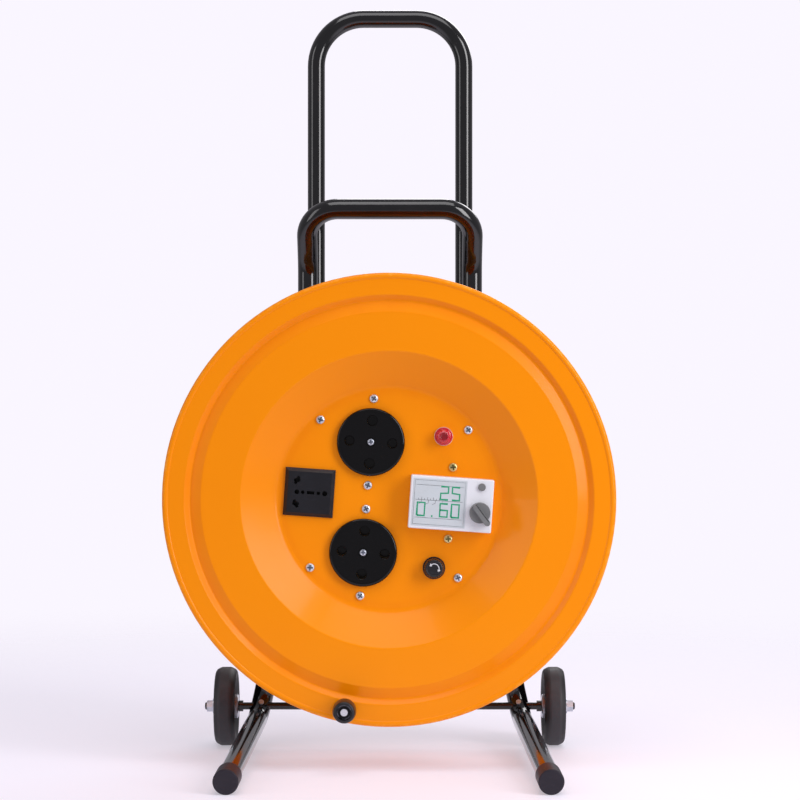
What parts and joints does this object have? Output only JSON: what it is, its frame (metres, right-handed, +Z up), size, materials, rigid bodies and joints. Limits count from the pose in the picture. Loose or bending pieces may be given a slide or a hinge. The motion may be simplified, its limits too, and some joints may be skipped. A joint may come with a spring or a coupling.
{
  "type": "cable reel trolley",
  "caption": "Wheeled cable reel: orange steel drum with a socket panel in its front disc, on a black tube frame with two wheels, two feet and two handles.",
  "frame": {"origin": "on the floor, under the middle of the whole trolley", "axes": "+X to the right seen from the front, +Y to the back, +Z up"},
  "size_m": [0.4599, 0.3788, 0.8089],
  "materials": {
    "disc_paint": "bright orange gloss paint",
    "frame_paint": "gloss black paint",
    "zinc": "bright zinc plate",
    "yellow_zinc": "yellow zinc plate",
    "brass": "bare brass",
    "rubber": "black rubber",
    "tyre": "matt black rubber",
    "black_plastic": "satin black",
    "nylon": "natural nylon",
    "bakelite": "polished black moulding",
    "charcoal_plastic": "satin charcoal moulding",
    "white_plastic": "white moulding",
    "label": "pale printed plate",
    "grey_plastic": "grey moulding",
    "pale_plastic": "pale moulding",
    "red_lens": "red translucent plastic",
    "glass": "clear glass"
  },
  "bodies": {
    "frame": {"upright_left": "frame_paint", "upright_right": "frame_paint", "carry_handle": "frame_paint", "foot_left": "frame_paint", "foot_right": "frame_paint", "foot_caps": "rubber", "crossbars": "frame_paint", "axle_plate": "frame_paint", "plate_bolts": "zinc", "drum_axle": "zinc", "axle_nuts": "zinc", "guide_tube_left": "frame_paint", "guide_tube_right": "frame_paint", "guide_bushes": "black_plastic", "clamp_bosses": "frame_paint", "guide_blocks": "frame_paint", "wheel_axle": "frame_paint", "axle_collars": "frame_paint", "wheel_nuts": "zinc", "leg_screws": "zinc"},
    "drum": {"front_disc": "disc_paint", "back_disc": "disc_paint", "drum_core": "disc_paint", "drum_hub": "zinc", "bulkhead": "zinc", "hub_bushes": "nylon", "disc_screws": "zinc", "socket_screws": "zinc", "breaker_screws": "yellow_zinc", "sheet_nuts": "zinc", "crank_stud": "zinc", "socket_face_upper": "bakelite", "socket_face_lower": "bakelite", "socket_base_upper": "bakelite", "socket_base_lower": "bakelite", "brass_contacts": "brass", "universal_socket": "charcoal_plastic", "breaker_case": "white_plastic", "breaker_label": "label", "breaker_clips": "zinc", "lamp_body": "pale_plastic", "lamp_bulb": "glass", "lamp_lens": "red_lens", "fuse_body": "black_plastic", "terminal_block": "bakelite", "cable_gland": "rubber"},
    "wheel_left": {"tyre_left": "tyre", "wheel_hub_left": "zinc"},
    "wheel_right": {"tyre_right": "tyre", "wheel_hub_right": "zinc"},
    "pull_handle": {"pull_handle": "frame_paint", "leg_plugs": "black_plastic"},
    "clamp_left": {"clamp_knob_left": "black_plastic"},
    "clamp_right": {"clamp_knob_right": "black_plastic"},
    "crank": {"crank_grip": "black_plastic"},
    "breaker_switch": {"breaker_knob": "grey_plastic"},
    "test_button": {"test_button": "grey_plastic"},
    "fuse_cap": {"fuse_cap": "black_plastic", "fuse_link": "glass"}
  },
  "joints": [
    {"name": "drum_spin", "type": "hinge", "parent": "frame", "child": "drum", "pos_m": [0, -0.064, 0.276], "axis": [0, 1, 0], "continuous": true},
    {"name": "crank_grip_spin", "type": "hinge", "parent": "drum", "child": "crank", "pos_m": [-0.0448, -0.064, 0.06521], "axis": [0, 1, 0], "continuous": true},
    {"name": "wheel_left_spin", "type": "hinge", "parent": "frame", "child": "wheel_left", "pos_m": [-0.1785, 0.116, 0.0425], "axis": [1, 0, 0], "continuous": true},
    {"name": "wheel_right_spin", "type": "hinge", "parent": "frame", "child": "wheel_right", "pos_m": [0.1785, 0.116, 0.0425], "axis": [1, 0, 0], "continuous": true},
    {"name": "pull_handle_slide", "type": "slide", "parent": "frame", "child": "pull_handle", "axis": [0, 0, 1], "range_m": [-0.2, 0]},
    {"name": "clamp_left_turn", "type": "hinge", "parent": "frame", "child": "clamp_left", "pos_m": [-0.0818, 0.175, 0.455], "axis": [0, 1, 0], "range_deg": [0, 360]},
    {"name": "clamp_right_turn", "type": "hinge", "parent": "frame", "child": "clamp_right", "pos_m": [0.0818, 0.175, 0.455], "axis": [0, 1, 0], "range_deg": [0, 360]},
    {"name": "breaker_switch_turn", "type": "hinge", "parent": "drum", "child": "breaker_switch", "pos_m": [0.09189, -0.058, 0.26256], "axis": [0, -1, 0], "range_deg": [0, 90]},
    {"name": "test_button_press", "type": "slide", "parent": "drum", "child": "test_button", "axis": [0, 1, 0], "range_m": [0, 0.002], "stiffness_N_per_m": 500, "springref_m": -0.002},
    {"name": "fuse_cap_turn", "type": "hinge", "parent": "drum", "child": "fuse_cap", "pos_m": [0.04568, -0.038, 0.20534], "axis": [0, -1, 0], "range_deg": [0, 60]}
  ]
}
